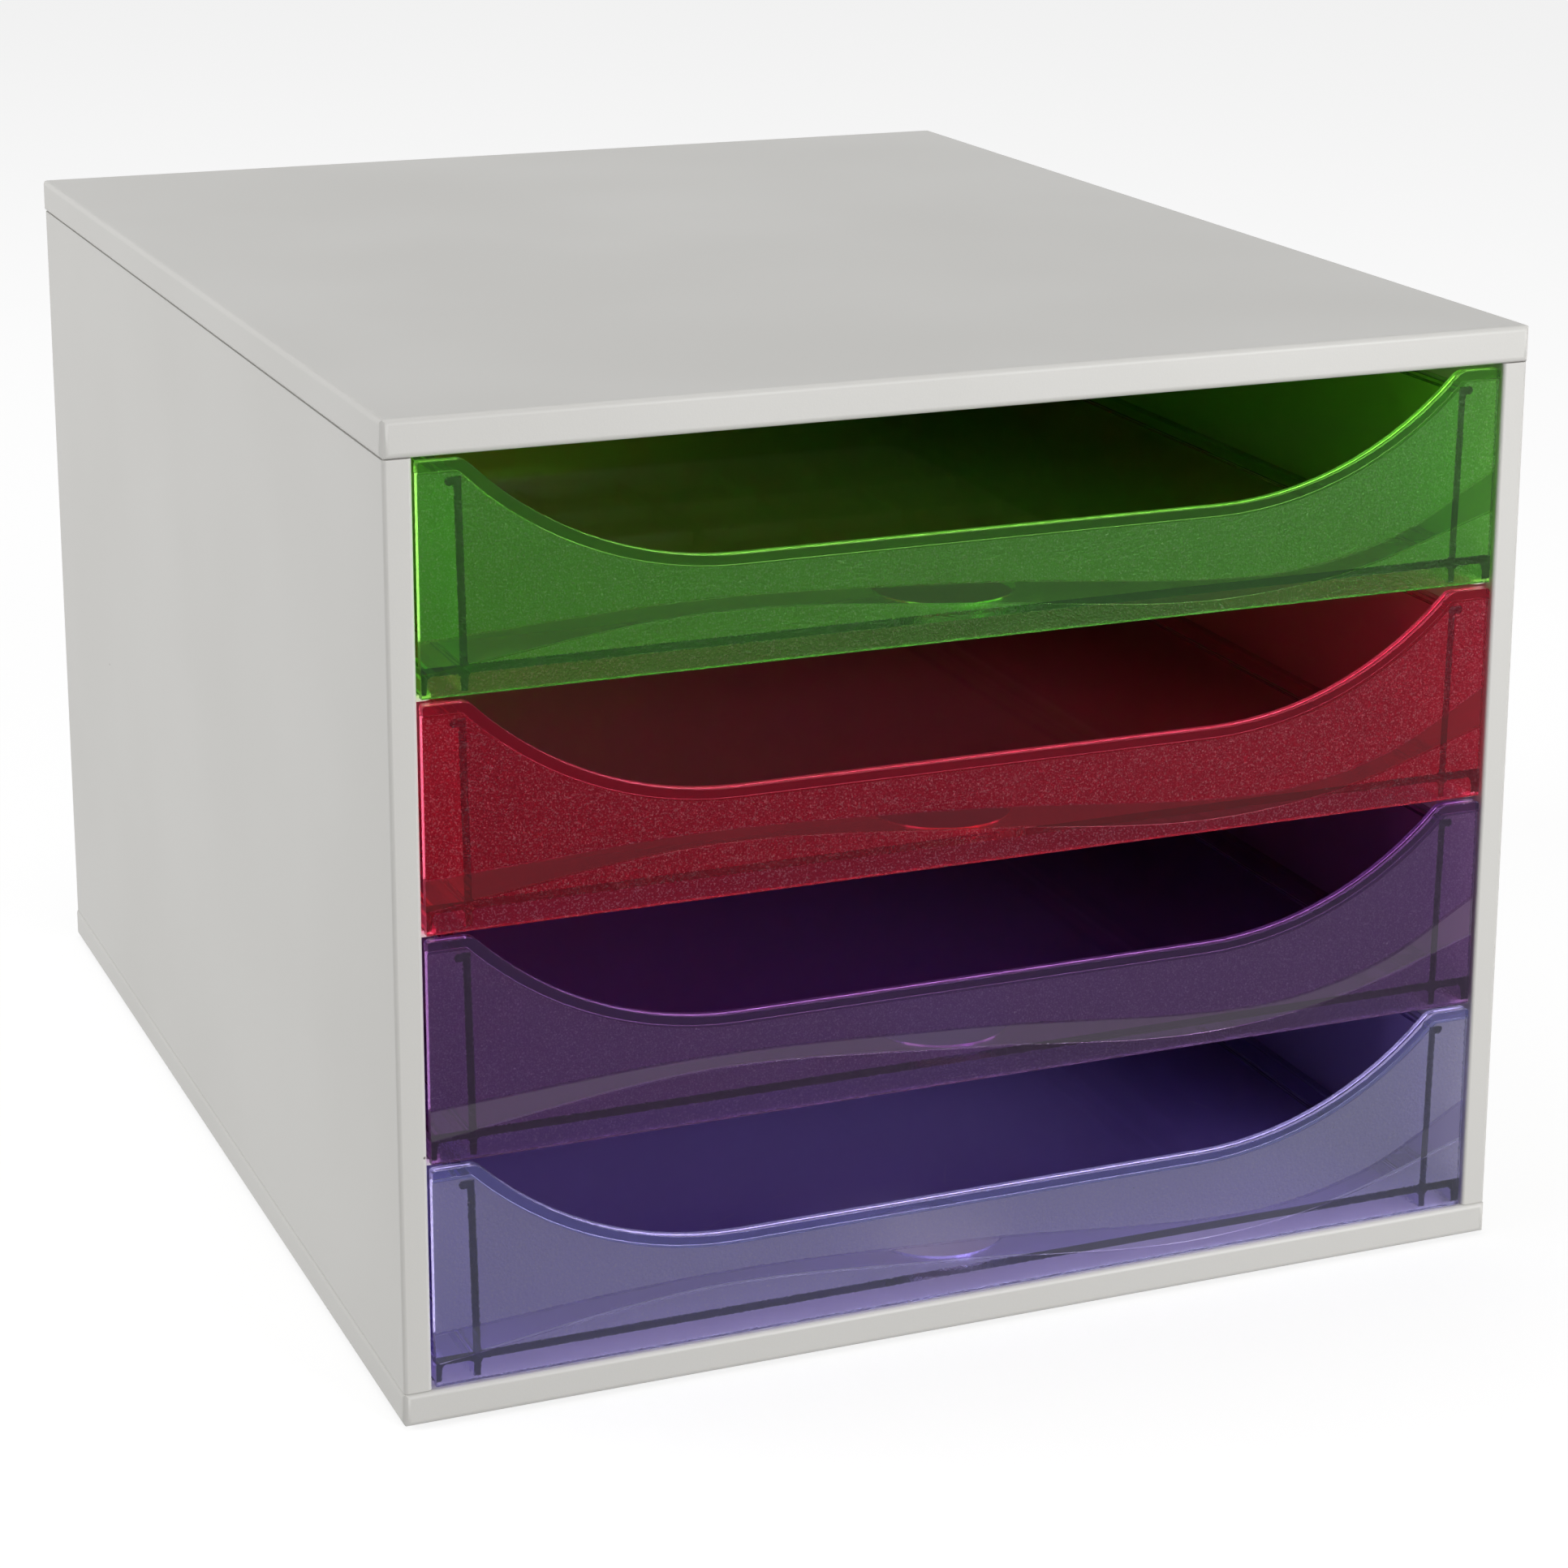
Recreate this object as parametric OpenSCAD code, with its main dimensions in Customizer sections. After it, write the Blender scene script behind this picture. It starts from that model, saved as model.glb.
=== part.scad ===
// Desktop drawer tower for A4+ papers: a case of five moulded panels on four non-slip pads,
// with four one-piece translucent trays that slide on ledges inside the side panels.
// Millimetres. Origin: middle of the footprint, on the surface that the pads stand on.
// The drawers face -Y and +Z is up.

/* [Case] */
// Overall width of the case
case_w = 284; // [260:1:340]
// Overall depth of the case
case_d = 348; // [300:1:400]
// Overall height, pads included
case_h = 234; // [210:1:280]
// Height of the rim of the top panel
top_h = 9; // [8:0.5:12]
// Level of the base panel's upper face
base_h = 9; // [8:0.5:12]
// Wall of the top, base and back mouldings
skin = 2.5; // [2:0.1:3]
// Thickness of the ribs under the top and base panels
rib_t = 1.5; // [1:0.1:2]
// Spacing of those ribs
rib_pitch = 34; // [30:1:60]
// Rounding of the upright edges of the top and base panels
corner_r = 2; // [1:0.25:3]
// Rounding of the long outer edges of the top and base panels
edge_r = 1.5; // [0.5:0.25:2]
// How far the side panels sit back from the faces of the top and base panels
reveal = 0.4; // [0.2:0.1:1]

/* [Side panels] */
// Thickness of a side panel at its posts
side_t = 6.6; // [6:0.1:8]
// Thickness of the side panel's outer skin in the pockets between the posts
side_skin = 3; // [2.5:0.1:3.2]
// Rounding of the upright edges of the side panels
side_edge_r = 1; // [0.5:0.25:1.5]
// Depth of the front post
post_d = 40; // [25:1:60]
// Size of the slanted web that joins the front post to the ledge above
web = 20; // [8:1:26]
// Height of the thick border along the top and bottom edges
border = 3; // [2:0.25:3.5]
// Width of a ledge, from the face of the post
ledge_w = 4.2; // [3.6:0.1:5]
// Thickness of a ledge
ledge_t = 1.5; // [1.2:0.1:2]
// Rounding of the inner front corner of a ledge
ledge_r = 2; // [1:0.25:3]
// Side of the square opening in each front corner of the base panel, beside the side panel
corner_hole = 3; // [2:0.25:4]
// Distance of those openings from the face of the case
corner_hole_y = 5; // [3:0.5:8]

/* [Panel joints] */
// Length of a locating tab
tab_l = 36; // [20:1:50]
// Thickness of a locating tab
tab_t = 2; // [1.5:0.1:2.2]
// Height of a locating tab
tab_h = 4.5; // [3:0.25:5]
// Clearance around a tab in its slot
tab_gap = 0.2; // [0.1:0.05:0.3]
// Distance of the back panel from the rear face of the case
back_inset = 2; // [1.5:0.25:4]
// Depth of the groove that holds the back panel's edges
groove_d = 2.4; // [1.5:0.1:3]

/* [Pads] */
// Diameter of a non-slip pad
pad_d = 14; // [10:0.5:20]
// Thickness of a pad
pad_t = 2; // [1.5:0.1:3]
// How far a pad stands out below the base panel
pad_proud = 0.8; // [0.4:0.1:1]
// Distance of a pad's centre from the faces of the case
pad_inset = 22; // [18:1:40]

/* [Drawer fronts] */
// Gap between a drawer front and the side panel's post
front_gap = 1; // [0.6:0.1:2]
// Clearance between a drawer's runner and the ledge under it, and over a front and the ledge above it
slide_gap = 0.25; // [0.2:0.05:0.5]
// Level of the lowest drawer above the base panel's face
drawer_lift = 1; // [0.7:0.1:1.4]
// How far the front plate reaches below the runners, in front of the ledge's end
front_drop = 0.6; // [0.2:0.1:0.6]
// Gap between the back of the front plate and the end of the ledge
ledge_gap = 0.5; // [0.3:0.1:1]
// Thickness of the front plate
front_t = 2; // [1.6:0.1:2.6]
// Width of the bead that frames the top edge of the front
bead_w = 2.7; // [2:0.1:3]
// How far the bead stands out from the plate
bead_proud = 0.5; // [0.3:0.1:0.8]
// Thickness of the bead, front to back
bead_t = 3; // [2.8:0.1:4]
// Depth of the hand cut-out below the top of the front
grip_depth = 27; // [18:1:30]
// Radius of the sweeping sides of the cut-out
grip_r = 88; // [50:1:100]
// Level length left at each top corner of the front, before its rounding
grip_land = 10.6; // [8:0.1:16]
// Rounding of the corner between the level top and the cut-out
grip_corner_r = 4; // [3.5:0.25:6]
// Rounding of the two outer corners at the top of the front
front_corner_r = 0.8; // [0.4:0.1:1.5]
// Depth of the polished band in the frosted face
band_depth = 0.2; // [0.1:0.05:0.4]

/* [Drawer trays] */
// Thickness of the side and rear walls
wall_t = 1.8; // [1.5:0.1:2.2]
// How far a wall leans out between its foot and its top
wall_lean = 0.8; // [0.4:0.1:1.2]
// Distance from the top of the front down to the top of the walls
wall_drop = 4; // [3:0.5:8]
// Inner radius of the upright rear corners
wall_corner_r = 8; // [7:0.5:14]
// Reach of the lip along the top of the walls
lip_w = 1.9; // [1.2:0.1:3]
// Thickness of that lip
lip_t = 2; // [1.6:0.1:2.4]
// Thickness of the floor
floor_t = 2; // [1.6:0.1:2.6]
// Height of the floor's underside above the runner edges
floor_lift = 4; // [3:0.25:5]
// Radius inside the tray between the floor and the walls
floor_r = 0.6; // [0.3:0.1:3]
// Width of the flange outside the walls, out to the runner's face
flange_w = 8.4; // [7.5:0.1:10]
// Thickness of the runner skirt and of the rib under the wall, at the floor
runner_t = 1.8; // [1.4:0.1:2]
// How much thinner they are at their lower edges
foot_taper = 0.3; // [0.1:0.05:0.5]
// Bevel in the corners where they meet the floor
rib_bevel = 0.7; // [0.3:0.1:1]
// Diameter of the finger hole in the floor
finger_hole_d = 34; // [24:1:40]
// Distance from the face of the front to the centre of the finger hole
finger_hole_y = 25; // [24:1:40]
// Clearance between a closed drawer and the back panel
rear_gap = 0.5; // [0.3:0.1:2]
// Length of a stop ear
ear_l = 8; // [6:0.5:12]
// Height of a stop ear above the flange
ear_h = 6; // [4:0.5:10]
// Clearance between a stop ear and the side panel's skin
ear_gap = 1.2; // [0.8:0.1:1.5]
// Clearance between a stop ear and the post when a drawer is fully out
stop_gap = 0.5; // [0.3:0.1:1]

/* [Hidden] */
$fn = 48;
eps = 0.01;

case_grey = [0.77, 0.77, 0.75];
pad_grey = [0.25, 0.25, 0.26];
// The drawers' tints, from the lowest to the highest
blue_tint = [0.36, 0.42, 0.72, 0.6];
purple_tint = [0.28, 0.15, 0.42, 0.7];
red_tint = [0.72, 0.05, 0.15, 0.7];
green_tint = [0.15, 0.60, 0.12, 0.65];

// Number of drawers, and the height that each one has in the case
drawers = 4;
bay_h = (case_h - top_h - base_h) / drawers;

// Faces of the case and of its side panels
half_w = case_w / 2;
half_d = case_d / 2;
side_out = half_w - reveal;
side_in = side_out - side_t;
pocket_in = side_out - side_skin;
side_front = -half_d + reveal;
side_rear = half_d - reveal;
side_low = base_h;
side_high = case_h - top_h;
post_back = side_front + post_d;
back_out = half_d - back_inset;
back_in = back_out - skin;
rear_post_front = back_in - skin;
skid_front = -half_d + corner_hole_y + 2 * corner_hole;
tab_out = half_w - skin - tab_gap;
tab_in = tab_out - tab_t;
tab_first = -half_d / 2;
tab_last = half_d / 2;
back_half = side_in + groove_d - tab_gap;

// Drawer fronts
front_h = bay_h - ledge_t - 2 * slide_gap;
front_half = side_in - front_gap;
front_face = -half_d;
plate_face = front_face + bead_proud;
plate_back = plate_face + front_t;
ledge_front = max(plate_back, front_face + bead_t) + ledge_gap;
grip_floor = front_h - grip_depth;
grip_sweep = sqrt(grip_r ^ 2 - (grip_r - grip_depth) ^ 2);
grip_flat = front_half - grip_land - grip_sweep;

// Drawer trays, measured from the lower edge of a drawer's runners
floor_top = floor_lift + floor_t;
wall_top = front_h - wall_drop;
tray_rear = back_in - rear_gap;
wall_reach = flange_w + wall_lean + wall_t;
tray_corner_r = wall_corner_r + wall_reach;
ear_back = tray_rear - tray_corner_r;
ear_front = ear_back - ear_l;
ear_out = pocket_in - ear_gap;

// How far a drawer comes out before its ears meet the front posts
travel = ear_front - post_back - stop_gap;
echo(travel = travel, front_h = front_h, bay_h = bay_h);

// Lower edge of the runners of drawer k, counted from the lowest drawer, and the face of the ledge under it
function drawer_z(k) = base_h + drawer_lift + k * bay_h;
function ledge_top(k) = drawer_z(k) - slide_gap;

// Polished band: heights of its two edges at places across the front, from -1 at the left to 1
band_upper = [[-1, 12], [-0.5, 15.2], [0, 12.4], [0.54, 7], [0.8, 13], [1, 27]];
band_lower = [[-1, 4.8], [-0.5, 12], [0, 7.5], [0.42, 2.4], [0.72, 6], [1, 17]];
band_steps = 8;

// A smooth curve through the points p: cubic pieces whose slopes come from the neighbouring points
function slope(p, i) =
    let (a = max(i - 1, 0), b = min(i + 1, len(p) - 1))
    (p[b][1] - p[a][1]) / (p[b][0] - p[a][0]);
function blend(p, i, t) =
    let (w = p[i + 1][0] - p[i][0])
    (1 + 2 * t) * (1 - t) ^ 2 * p[i][1] + t * (1 - t) ^ 2 * w * slope(p, i)
    + t ^ 2 * (3 - 2 * t) * p[i + 1][1] - t ^ 2 * (1 - t) * w * slope(p, i + 1);
function curve(p, steps) = [
    for (i = [0 : len(p) - 2], s = [0 : steps - (i == len(p) - 2 ? 0 : 1)])
        let (t = s / steps)
        [(p[i][0] * (1 - t) + p[i + 1][0] * t) * front_half, blend(p, i, t)]
];
function reversed(list) = [for (i = [len(list) - 1 : -1 : 0]) list[i]];

// ---- Shapes that several pieces share ----

// Plan of a rectangle with rounded corners, centred in x, from y0 to y1
module rounded_plan(w, y0, y1, r) {
    translate([-w / 2 + r, y0]) square([w - 2 * r, y1 - y0]);
    translate([-w / 2, y0 + r]) square([w, y1 - y0 - 2 * r]);
    for (x = [-1, 1], y = [y0 + r, y1 - r])
        translate([x * (w / 2 - r), y]) circle(r);
}

// Stands a profile drawn in (x, z) up and runs it along y from y0 to y1
module run_y(y0, y1) {
    translate([0, y1, 0]) rotate([90, 0, 0]) linear_extrude(y1 - y0) children();
}

// Stands a profile drawn in (y, z) up and runs it along x from x0 to x1
module run_x(x0, x1) {
    translate([x0, 0, 0]) rotate([90, 0, 90]) linear_extrude(x1 - x0) children();
}

// Outer form of the top and base panels: every outer edge softly rounded
module soft_slab(z0, z1) {
    intersection() {
        translate([0, 0, z0]) linear_extrude(z1 - z0) rounded_plan(case_w, -half_d, half_d, corner_r);
        run_y(-half_d, half_d) rounded_plan(case_w, z0, z1, edge_r);
        run_x(-half_w, half_w) rounded_plan(case_d, z0, z1, edge_r);
    }
}

// Crossed ribs over the hollow of a panel, between levels z0 and z1
module rib_grid(z0, z1) {
    span_x = half_w - skin;
    span_y = half_d - skin;
    count_x = floor(span_x / rib_pitch);
    count_y = floor(span_y / rib_pitch);
    for (i = [-count_x : count_x])
        translate([i * rib_pitch - rib_t / 2, -span_y - eps, z0]) cube([rib_t, 2 * span_y + 2 * eps, z1 - z0]);
    for (j = [-count_y : count_y])
        translate([-span_x - eps, j * rib_pitch - rib_t / 2, z0]) cube([2 * span_x + 2 * eps, rib_t, z1 - z0]);
}

// Locating tabs of a side panel at its edge z, grown by a clearance for their slots
module side_tabs(z0, z1, grow) {
    for (y = [tab_first, 0, tab_last])
        translate([tab_in - grow, y - tab_l / 2 - grow, z0])
            cube([tab_t + 2 * grow, tab_l + 2 * grow, z1 - z0]);
}

// Locating tabs of the back panel, which stand in its middle plane
module back_tabs(z0, z1, grow) {
    for (x = [-half_w / 2, half_w / 2])
        translate([x - tab_l / 2 - grow, back_in + (skin - tab_t) / 2 - grow, z0])
            cube([tab_l + 2 * grow, tab_t + 2 * grow, z1 - z0]);
}

// ---- Case ----

// Rim and skin in one, ribbed inside, with a channel along each side for the side panels' tabs
module top_panel() {
    color(case_grey) difference() {
        union() {
            difference() {
                soft_slab(side_high, case_h);
                translate([0, 0, side_high - eps]) linear_extrude(top_h - skin + eps)
                    rounded_plan(2 * (half_w - skin), -half_d + skin, half_d - skin, corner_r);
            }
            rib_grid(side_high + tab_h - skin, case_h - skin + eps);
            for (s = [-1, 1])
                translate([s * (tab_in - tab_gap - rib_t / 2) - rib_t / 2, -half_d + skin - eps, side_high])
                    cube([rib_t, case_d - 2 * skin + 2 * eps, top_h - skin + eps]);
            translate([-side_in, back_in - rib_t - tab_gap, side_high])
                cube([2 * side_in, rib_t, top_h - skin + eps]);
        }
        for (s = [0, 1]) mirror([s, 0, 0])
            side_tabs(side_high - eps, side_high + tab_h + tab_gap, tab_gap);
        back_tabs(side_high - eps, side_high + tab_h + tab_gap, tab_gap);
    }
}

// Plate that the side panels stand on, hollow and ribbed underneath, with two low skids for the drawer
// and a small opening in front of each skid
module base_panel() {
    color(case_grey) difference() {
        union() {
            difference() {
                soft_slab(pad_proud, base_h);
                translate([0, 0, pad_proud - eps]) linear_extrude(base_h - skin - pad_proud + eps)
                    rounded_plan(2 * (half_w - skin), -half_d + skin, half_d - skin, corner_r);
            }
            rib_grid(pad_proud + rib_t, base_h - skin + eps);
            each_pad() cylinder(d = pad_d + 2 * rib_t + 2 * tab_gap, h = base_h - skin + eps - pad_proud);
            for (s = [-1, 1])
                translate([s * (side_in - ledge_w / 2) - ledge_w / 2, skid_front, base_h - eps])
                    cube([ledge_w, rear_post_front - skid_front, drawer_lift - slide_gap + eps]);
        }
        for (s = [-1, 1])
            translate([s * (side_in - corner_hole / 2), skid_front - 3 * corner_hole / 2, base_h - skin / 2])
                cube([corner_hole, corner_hole, skin + 2 * eps], center = true);
        for (s = [0, 1]) mirror([s, 0, 0])
            side_tabs(base_h - tab_h - tab_gap, base_h + eps, tab_gap);
        back_tabs(base_h - tab_h - tab_gap, base_h + eps, tab_gap);
        each_pad() translate([0, 0, -eps])
            cylinder(d = pad_d + 2 * tab_gap, h = pad_t - pad_proud + eps);
    }
}

module each_pad() {
    for (x = [-1, 1], y = [-1, 1])
        translate([x * (half_w - pad_inset), y * (half_d - pad_inset), pad_proud]) children();
}

// Pocket between two ledges, drawn in (y, z): its upper front corner is cut off by the web
module pocket_outline(z0, z1) {
    polygon([
        [post_back, z0],
        [rear_post_front, z0],
        [rear_post_front, z1],
        [post_back + web, z1],
        [post_back, z1 - web]
    ]);
}

// Ledge drawn in plan: it runs from just behind the drawer front back to the rear post
module ledge_plan() {
    inner = side_in - ledge_w;
    translate([inner + ledge_r, ledge_front]) square([side_in - inner - ledge_r + eps, ledge_r + eps]);
    translate([inner, ledge_front + ledge_r])
        square([pocket_in - inner + eps, rear_post_front - ledge_front - ledge_r]);
    translate([inner + ledge_r, ledge_front + ledge_r]) circle(ledge_r);
}

// The right-hand side panel; the left-hand one is its mirror image
module side_panel() {
    color(case_grey) difference() {
        union() {
            difference() {
                translate([0, 0, side_low]) linear_extrude(side_high - side_low)
                    translate([(side_in + side_out) / 2, 0])
                    rounded_plan(side_t, side_front, side_rear, side_edge_r);
                for (k = [0 : drawers - 1])
                    run_x(side_in - eps, pocket_in) pocket_outline(
                        k == 0 ? side_low + border : ledge_top(k),
                        k == drawers - 1 ? side_high - border : ledge_top(k + 1) - ledge_t);
            }
            for (k = [1 : drawers - 1])
                translate([0, 0, ledge_top(k) - ledge_t]) linear_extrude(ledge_t) ledge_plan();
            side_tabs(side_low - tab_h, side_low + eps, 0);
            side_tabs(side_high - eps, side_high + tab_h, 0);
        }
        translate([side_in - eps, back_in - tab_gap, side_low - eps])
            cube([groove_d + eps, skin + 2 * tab_gap, side_high - side_low + 2 * eps]);
    }
}

module right_side_panel() { side_panel(); }

module left_side_panel() { mirror([1, 0, 0]) side_panel(); }

module back_panel() {
    color(case_grey) {
        translate([-back_half, back_in, side_low]) cube([2 * back_half, skin, side_high - side_low]);
        back_tabs(side_low - tab_h, side_low + eps, 0);
        back_tabs(side_high - eps, side_high + tab_h, 0);
    }
}

module pad(x, y) {
    color(pad_grey) translate([x * (half_w - pad_inset), y * (half_d - pad_inset), 0])
        cylinder(d = pad_d, h = pad_t);
}

module front_left_pad() { pad(-1, -1); }

module front_right_pad() { pad(1, -1); }

module rear_left_pad() { pad(-1, 1); }

module rear_right_pad() { pad(1, 1); }

// ---- Drawers ----

// Outline of a drawer front in (x, z), set in by inset from the top edge and the cut-out.
// It reaches a little below the runners.
// The cut-out is a level stretch between two large arcs, each rounded over into the level top,
// and the two outer corners of that top are rounded as well.
module front_outline(half, inset) {
    top = front_h - inset;
    arc_z = grip_floor + grip_r;
    corner_z = front_h - grip_corner_r;
    corner_x = grip_flat + sqrt((grip_r + grip_corner_r) ^ 2 - (arc_z - corner_z) ^ 2);
    difference() {
        union() {
            translate([-half, -front_drop]) square([2 * half, top - front_corner_r + front_drop]);
            translate([-half + front_corner_r, -front_drop])
                square([2 * (half - front_corner_r), top + front_drop]);
            for (s = [-1, 1])
                translate([s * (half - front_corner_r), top - front_corner_r]) circle(front_corner_r, $fn = 24);
        }
        translate([-grip_flat, grip_floor - inset]) square([2 * grip_flat, front_h]);
        for (s = [-1, 1]) {
            translate([s * grip_flat, arc_z]) circle(grip_r + inset, $fn = 240);
            polygon([[s * corner_x, corner_z], [s * corner_x, arc_z], [s * grip_flat, arc_z]]);
        }
    }
    for (s = [-1, 1])
        translate([s * corner_x, corner_z]) circle(grip_corner_r - inset);
}

// Front plate with its bead, and the polished band sunk a little into the frosted face
module drawer_front() {
    difference() {
        run_y(plate_face, plate_back) front_outline(front_half, 0);
        run_y(plate_face - eps, plate_face + band_depth) intersection() {
            front_outline(front_half, bead_w);
            polygon(concat(curve(band_upper, band_steps), reversed(curve(band_lower, band_steps))));
        }
    }
    run_y(front_face, front_face + bead_t) difference() {
        front_outline(front_half, 0);
        front_outline(front_half + 2 * front_corner_r, bead_w);
    }
}

// Section of a tray's wall with its lip, flange, runner skirt and rib.
// x is measured from the runner's outer face, and z from the runner's lower edge.
module wall_section() {
    foot = -flange_w - wall_lean;
    fillet_z = floor_top + floor_r;
    fillet_x = foot - wall_t - floor_r + wall_lean * (fillet_z - floor_lift) / (wall_top - floor_lift);
    polygon([
        [foot, floor_lift],
        [-flange_w, wall_top],
        [-flange_w - wall_t, wall_top],
        [foot - wall_t, floor_lift]
    ]);
    translate([-flange_w - wall_t, wall_top - lip_t]) square([wall_t + lip_w - lip_t / 2, lip_t]);
    translate([-flange_w + lip_w - lip_t / 2, wall_top - lip_t / 2]) circle(lip_t / 2);
    translate([-wall_reach, floor_lift]) square([wall_reach, floor_t]);
    polygon([
        [0, 0],
        [0, floor_top],
        [-runner_t - rib_bevel, floor_lift],
        [-runner_t, floor_lift - rib_bevel],
        [-runner_t + foot_taper, 0]
    ]);
    polygon([
        [foot - wall_t + foot_taper / 2, 0],
        [foot - wall_t, floor_lift - rib_bevel],
        [foot - wall_t - rib_bevel, floor_lift],
        [foot - wall_t / 2, floor_top],
        [foot - wall_t + runner_t + rib_bevel, floor_lift],
        [foot - wall_t + runner_t, floor_lift - rib_bevel],
        [foot - wall_t + runner_t - foot_taper / 2, 0]
    ]);
    difference() {
        translate([fillet_x, floor_lift]) square([floor_r + wall_t / 2, fillet_z - floor_lift]);
        translate([fillet_x, fillet_z]) circle(floor_r);
    }
}

// One tray wall swept round three sides, with the floor inside it and the front across it
module drawer_body() {
    inner_half = front_half - tray_corner_r;
    for (s = [0, 1]) mirror([s, 0, 0]) {
        run_y(plate_back - eps, ear_back) translate([front_half, 0]) wall_section();
        translate([inner_half, ear_back, 0]) rotate_extrude(angle = 90)
            translate([tray_corner_r, 0]) wall_section();
        stop_ear();
    }
    translate([0, tray_rear - front_half, 0]) mirror([1, -1, 0])
        run_y(-inner_half, inner_half) translate([front_half, 0]) wall_section();
    difference() {
        translate([0, 0, floor_lift]) linear_extrude(floor_t)
            rear_rounded_plan(front_half - flange_w, plate_back - eps, tray_rear - flange_w, wall_corner_r);
        translate([0, front_face + finger_hole_y, floor_lift - 1]) cylinder(d = finger_hole_d, h = floor_t + 2);
    }
    drawer_front();
}

// Plan of the floor: square at the front, rounded at the rear corners
module rear_rounded_plan(half, y0, y1, r) {
    translate([-half, y0]) square([2 * half, y1 - y0 - r]);
    translate([-half + r, y0]) square([2 * (half - r), y1 - y0]);
    for (s = [-1, 1])
        translate([s * (half - r), y1 - r]) circle(r);
}

// Ear on the rear end of the flange: it travels in the side panel's pocket and stops at the front post
module stop_ear() {
    translate([0, 0, floor_lift]) linear_extrude(floor_t + ear_h) polygon([
        [front_half - runner_t, ear_front],
        [ear_out, ear_front],
        [ear_out, ear_front + ear_l / 2],
        [front_half, ear_back],
        [front_half - runner_t, ear_back]
    ]);
}

module drawer(k, tint) {
    color(tint) translate([0, 0, drawer_z(k)]) drawer_body();
}

module blue_drawer() { drawer(0, blue_tint); }

module purple_drawer() { drawer(1, purple_tint); }

module red_drawer() { drawer(2, red_tint); }

module green_drawer() { drawer(3, green_tint); }

top_panel();
base_panel();
left_side_panel();
right_side_panel();
back_panel();
green_drawer();
red_drawer();
purple_drawer();
blue_drawer();
front_left_pad();
front_right_pad();
rear_left_pad();
rear_right_pad();
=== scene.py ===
"""Looks of a desktop drawer tower: a light grey case on rubber pads, with four translucent trays.

Every panel and tray is its CAD mesh welded into one clean skin, with softened moulded edges on the trays'
fronts and a procedural plastic. The pads are turned anew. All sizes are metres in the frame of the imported
model, with the drawers facing -Y.
"""

import logging
import math
from dataclasses import dataclass
from enum import Enum
from typing import Any, Callable, Sequence

import bmesh
import bpy
from mathutils import Euler, Matrix, Vector

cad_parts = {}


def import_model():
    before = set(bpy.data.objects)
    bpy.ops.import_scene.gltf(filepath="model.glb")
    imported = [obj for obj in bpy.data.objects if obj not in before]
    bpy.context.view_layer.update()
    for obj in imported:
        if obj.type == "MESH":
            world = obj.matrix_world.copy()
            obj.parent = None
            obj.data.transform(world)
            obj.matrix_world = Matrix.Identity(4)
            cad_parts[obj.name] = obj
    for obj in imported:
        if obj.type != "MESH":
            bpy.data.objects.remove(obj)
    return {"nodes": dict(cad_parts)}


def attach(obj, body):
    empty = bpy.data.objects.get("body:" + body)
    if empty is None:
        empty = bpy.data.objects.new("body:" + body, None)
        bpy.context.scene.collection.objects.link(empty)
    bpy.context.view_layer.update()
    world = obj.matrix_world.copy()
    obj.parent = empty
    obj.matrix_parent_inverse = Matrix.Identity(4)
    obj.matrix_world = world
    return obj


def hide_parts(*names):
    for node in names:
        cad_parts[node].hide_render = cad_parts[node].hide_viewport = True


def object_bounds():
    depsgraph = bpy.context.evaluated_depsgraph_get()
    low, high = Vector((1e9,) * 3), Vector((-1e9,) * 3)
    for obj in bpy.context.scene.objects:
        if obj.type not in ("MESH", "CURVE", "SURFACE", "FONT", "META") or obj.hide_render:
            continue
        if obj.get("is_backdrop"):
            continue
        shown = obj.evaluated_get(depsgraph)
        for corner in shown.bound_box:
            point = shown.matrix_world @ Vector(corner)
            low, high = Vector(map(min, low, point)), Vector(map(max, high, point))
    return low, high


LOG = logging.getLogger("drawer_tower")
MM = 0.001
WELD = 0.001 * MM
# How near a surface lies to a level that it belongs to.
ON_LEVEL = 0.05 * MM
# Decimals of a metre that tell one flat or one point from the next.
PLACES = 5
# Least part of a normal along an axis for a face that looks straight along it.
STRAIGHT = 0.99999
# Edges that turn more than this stay sharp.
SHARP = math.radians(35)
# The middle of a noise's values, where most of them lie.
CLOUDY = (0.3, 0.7)
WHITE = (1.0, 1.0, 1.0, 1.0)

Colour = tuple[float, float, float]
Place = tuple[float, float, float]
Socket = bpy.types.NodeSocket


class Lamp(Enum):
    """The studio's soft lamps."""

    KEY = "key"
    FILL = "fill"
    OVERHEAD = "overhead"


class Level(Enum):
    """The levels of a drawer's front, counted from the outermost."""

    BEAD = 0
    FACE = 1
    BAND = 2
    BACK = 3


class Look(Enum):
    """The ways that a flat can look, as an axis of the frame and a sign."""

    AHEAD = (1, -1)
    BACK = (1, 1)
    DOWN = (2, -1)
    UP = (2, 1)


class Blend(Enum):
    """How a value goes from one end of a range to the other."""

    EVEN = "LINEAR"
    SMOOTH = "SMOOTHSTEP"


# ---- Node trees ----


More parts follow.
